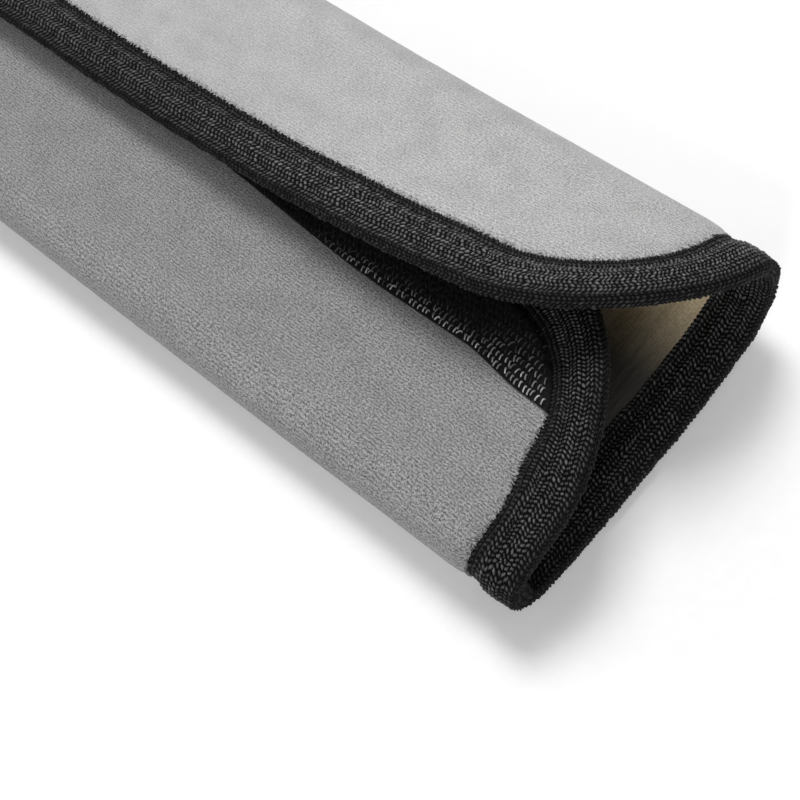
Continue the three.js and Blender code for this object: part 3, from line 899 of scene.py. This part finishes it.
# %% [markdown]
# ## The loop strip
#
# Under the flap a softer strip carries fine loops for the hooks to catch. Its loops stand in a
# loose mat, each turned its own way, so chance places them, with a fixed seed.

# %% Base and loops of the loop strip
LOOP_BASE = 0.35
LOOP_COUNT = 950
LOOP_RADIUS = 0.07

loop_u0 = MAT_WIDTH - LOOP_RIM_MARGIN - LOOP_WIDTH
loop_stations = loop_u0 + np.linspace(0, LOOP_WIDTH, 23)
loop_x, loop_u = blank(loop_stations, 1.5, lambda u: np.full_like(u, HALF_LENGTH - CORNER_RADIUS))
loop_top = np.full(loop_x.shape, LOOP_SEAT + LOOP_BASE)
loop_base = slab("loop_strip_base", loop_x, loop_u, loop_top - LOOP_BASE, loop_top)
finish_piece(loop_base, "black_loops", "loop_strip")
loop_base.data.materials.append(strip_cloth.material)

chance = np.random.default_rng(12)
loop_at_x = chance.uniform(-1, 1, LOOP_COUNT) * (HALF_LENGTH - CORNER_RADIUS - 1)
loop_at_u = loop_u0 + chance.uniform(0.8, LOOP_WIDTH - 0.8, LOOP_COUNT)
loop_turn = chance.uniform(0, 2 * np.pi, LOOP_COUNT)
loop_size = chance.uniform(0.24, 0.40, LOOP_COUNT)
arch = np.linspace(0, np.pi, 6)
arch_out = loop_size[:, None] * np.cos(arch)
arch_up = 0.05 + loop_size[:, None] * np.sin(arch)
loop_lines = fold(
    loop_at_x[:, None] + arch_out * np.cos(loop_turn)[:, None],
    loop_at_u[:, None] + arch_out * np.sin(loop_turn)[:, None],
    LOOP_SEAT + LOOP_BASE + arch_up,
)
loops = tubes("soft_loops", loop_lines, LOOP_RADIUS, 4)
finish_piece(loops, "black_loops", "loop_strip")

loop_yarn = Finish("black_loop_yarn")
loop_noise = loop_yarn.noise(loop_yarn.node("ShaderNodeTexCoord").outputs["Object"], 700, detail=2)
loop_yarn.put(
    Base_Color=loop_yarn.mix(loop_yarn.spread(loop_noise, 0.3, 0.7), grey(0.008), grey(0.03)),
    Roughness=loop_yarn.spread(loop_noise, 0.3, 0.7, 0.7, 0.95),
    Specular_IOR_Level=0.3,
)
loops.data.materials.append(loop_yarn.material)

# %% [markdown]
# ## The thread
#
# One seam runs round the rim, near the tape's border, through everything. Each stitch is a short
# piece of thread that dives into the tape at both ends. On the plush side the seam follows the
# border, also where the tape lies wider.

# %% Stitches round the rim
STITCH_PITCH = 3.1
STITCH_SHARE = 0.86  # of the pitch that a stitch takes up
THREAD_RADIUS = 0.13


def stitch_paths(face):
    """Stitches on one face of the tape: -1 for the plush side, 1 for the lining side."""
    count = int(RIM_LENGTH / STITCH_PITCH)
    middle = (np.arange(count) + 0.5) * RIM_LENGTH / count
    t = np.linspace(-0.5, 0.5, 7)
    along = (middle[:, None] + t * STITCH_PITCH * STITCH_SHARE) % RIM_LENGTH
    rise = 1 - (2 * np.abs(t)) ** 3
    x, u, in_x, in_u = on_rim(along)
    border = TAPE_WIDTH if face > 0 else border_width(x, u, in_x, in_u)
    inward = border - SEAM_INSET
    depth = face * (tape_height(inward) - YARN_RELIEF - 0.04 + 0.2 * rise)
    return fold(x + in_x * inward, u + in_u * inward, depth)


stitch_lines = np.concatenate([stitch_paths(-1), stitch_paths(1)])
stitches = tubes("seam_stitches", stitch_lines, THREAD_RADIUS, 5)
finish_piece(stitches, "black_webbing")

thread = Finish("black_thread")
thread_noise = thread.noise(thread.node("ShaderNodeTexCoord").outputs["Object"], 1500, detail=2)
thread.put(
    Base_Color=thread.mix(thread.spread(thread_noise, 0.3, 0.7), grey(0.004), grey(0.03)),
    Roughness=thread.spread(thread_noise, 0.3, 0.7, 0.45, 0.65),
    Specular_IOR_Level=0.1,
)
stitches.data.materials.append(thread.material)

# %% [markdown]
# ## Pile over the border
#
# A cloth edge that is cut by a smooth line gives a model away. On the real sleeve the pile stands
# over the tape's border and breaks the line. A hair system could grow it, but it is needed only
# along this one line, so short tapered tufts are laid there by chance. The hook strip has none.

# %% Tufts along the border
TUFT_COUNT = 2800
TUFT_RADII = np.array([0.15, 0.13, 0.10, 0.04])  # from root to tip


def tuft_paths():
    """Lines of the tufts, and the flat place of each root."""
    chance = np.random.default_rng(21)
    along = chance.uniform(0, RIM_LENGTH, TUFT_COUNT)
    x, u, in_x, in_u = on_rim(along)
    border = border_width(x, u, in_x, in_u)
    root = border + chance.uniform(0.3, 0.7, TUFT_COUNT)
    tip = border - chance.uniform(-0.1, 0.38, TUFT_COUNT)
    share = np.linspace(0, 1, 4)
    inward = root[:, None] + (tip - root)[:, None] * share
    sideways = chance.normal(0, 0.3, TUFT_COUNT)[:, None] * share
    root_height = plush_height(x + in_x * root, u + in_u * root)
    top = root_height[:, None] * (1 - share) + tape_height(tip)[:, None] * share
    top = top + 0.08 * np.sin(np.pi * share) + 0.02
    path_x = x[:, None] + in_x[:, None] * inward - in_u[:, None] * sideways
    path_u = u[:, None] + in_u[:, None] * inward + in_x[:, None] * sideways
    on_plush = path_u[:, 0] > strip_edge(path_x[:, 0]) + 0.4
    places = np.stack([path_x[:, 0], path_u[:, 0]], axis=-1)
    return fold(path_x, path_u, -top)[on_plush], places[on_plush]


tuft_lines, tuft_places = tuft_paths()
fringe = tubes("pile_fringe", tuft_lines, TUFT_RADII, 3, flat=tuft_places)
finish_piece(fringe, "grey_plush", "outer_cover")
fringe.data.materials.append(plush.material)

# %% [markdown]
# ## Floor, light and camera
#
# The sleeve lies on a pale floor. The key lamp hangs high behind it and to the left, so the front
# panel turns from the light and the open end stays dark inside. A weaker lamp in front opens the
# shade, and the world fills it a little. For the camera, in gloss and through clear things the
# world is white, and the floor also glows: weakly near the sleeve, where it keeps the shadow, a
# little more behind the sleeve, and most further off, where it fades to white.

# %% Floor
FLOOR_HALF = 3.0
GLOW_NEAR, GLOW_BEHIND, GLOW_FAR = 0.12, 0.10, 0.80

floor_mesh = bpy.data.meshes.new("floor")
floor_mesh.from_pydata([(-FLOOR_HALF, -FLOOR_HALF, 0), (FLOOR_HALF, -FLOOR_HALF, 0),
                        (FLOOR_HALF, FLOOR_HALF, 0), (-FLOOR_HALF, FLOOR_HALF, 0)], [], [(0, 1, 2, 3)])
floor = bpy.data.objects.new("floor", floor_mesh)
floor.location.z = -0.0001
bpy.context.scene.collection.objects.link(floor)
floor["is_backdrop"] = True

paper = Finish("pale_floor")
rays = paper.node("ShaderNodeLightPath").outputs
is_seen = paper.maths("MAXIMUM", rays["Is Camera Ray"], rays["Is Glossy Ray"])
is_seen = paper.maths("MAXIMUM", is_seen, rays["Is Transmission Ray"])
paper_place = paper.node("ShaderNodeTexCoord").outputs["Object"]
paper_grain = paper.noise(paper_place, 400, detail=2)
far_away = paper.node("ShaderNodeVectorMath", {0: paper_place}, operation="LENGTH").outputs["Value"]
across_floor = paper.node("ShaderNodeSeparateXYZ", {"Vector": paper_place}).outputs["Y"]
behind = paper.maths("MULTIPLY", paper.smooth(across_floor, 0.0, 0.06), GLOW_BEHIND)
glow = paper.spread(paper.smooth(far_away, 0.25, 0.85), 0, 1, GLOW_NEAR, GLOW_FAR)
glow = paper.maths("MAXIMUM", glow, paper.maths("ADD", behind, GLOW_NEAR))
paper.put(
    Base_Color=paper.mix(paper.spread(paper_grain, 0.3, 0.7), grey(0.80), grey(0.82)),
    Roughness=0.9,
    Specular_IOR_Level=0.0,
    Emission_Color=(1, 1, 1, 1),
    Emission_Strength=paper.maths("MULTIPLY", is_seen, glow),
)
floor_mesh.materials.append(paper.material)

# %% World
FILL = 0.30  # how bright the world is to the surfaces that it lights

world = bpy.data.worlds.new("studio")
bpy.context.scene.world = world
world.use_nodes = True
sky = world.node_tree
background = sky.nodes["Background"]
background.inputs["Color"].default_value = (1, 1, 1, 1)
light_path = sky.nodes.new("ShaderNodeLightPath")
seen = sky.nodes.new("ShaderNodeMapRange")
seen.inputs["To Min"].default_value = FILL
seen.inputs["To Max"].default_value = 1.0
is_white = light_path.outputs["Is Camera Ray"]
for ray in ("Is Glossy Ray", "Is Transmission Ray"):
    either = sky.nodes.new("ShaderNodeMath")
    either.operation = "MAXIMUM"
    sky.links.new(is_white, either.inputs[0])
    sky.links.new(light_path.outputs[ray], either.inputs[1])
    is_white = either.outputs["Value"]
sky.links.new(is_white, seen.inputs["Value"])
sky.links.new(seen.outputs["Result"], background.inputs["Strength"])


# %% Lamps
def soft_lamp(name, direction, distance, size, power):
    """A square lamp that looks at the middle of the sleeve."""
    lamp = bpy.data.lights.new(name, "AREA")
    lamp.size = size
    lamp.energy = power
    holder = bpy.data.objects.new(name, lamp)
    away = Vector(direction).normalized()
    holder.location = away * distance
    holder.rotation_mode = "QUATERNION"
    holder.rotation_quaternion = away.to_track_quat("Z", "Y")
    bpy.context.scene.collection.objects.link(holder)


soft_lamp("key", (-0.56, 0.70, 1.66), distance=1.4, size=0.55, power=15.3)
soft_lamp("front_light", (0.45, -0.85, 0.62), distance=1.3, size=0.45, power=6.2)

# %% Camera
CAMERA_AT = Vector((0.1945, -0.0749, 0.2429))
AZIMUTH, ELEVATION, ROLL = (math.radians(v) for v in (62.73, 61.74, 23.73))
PICTURE = 800  # pixels
FOCAL_PIXELS = 1700.8

camera_data = bpy.data.cameras.new("camera")
camera_data.sensor_width = 36
camera_data.lens = FOCAL_PIXELS / PICTURE * camera_data.sensor_width
camera_data.clip_start = 0.01
camera = bpy.data.objects.new("camera", camera_data)
level = math.cos(ELEVATION)
looks = Vector((-math.sin(AZIMUTH) * level, math.cos(AZIMUTH) * level, -math.sin(ELEVATION)))
camera.location = CAMERA_AT
camera.rotation_mode = "QUATERNION"
camera.rotation_quaternion = looks.to_track_quat("-Z", "Y") @ Quaternion((0, 0, 1), -ROLL)
bpy.context.scene.collection.objects.link(camera)
bpy.context.scene.camera = camera
bpy.context.scene.view_settings.view_transform = "Standard"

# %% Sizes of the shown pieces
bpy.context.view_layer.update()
triangles = {o.name: sum(len(p.vertices) - 2 for p in o.data.polygons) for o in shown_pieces()}
print("triangles:", triangles, "in all", sum(triangles.values()))
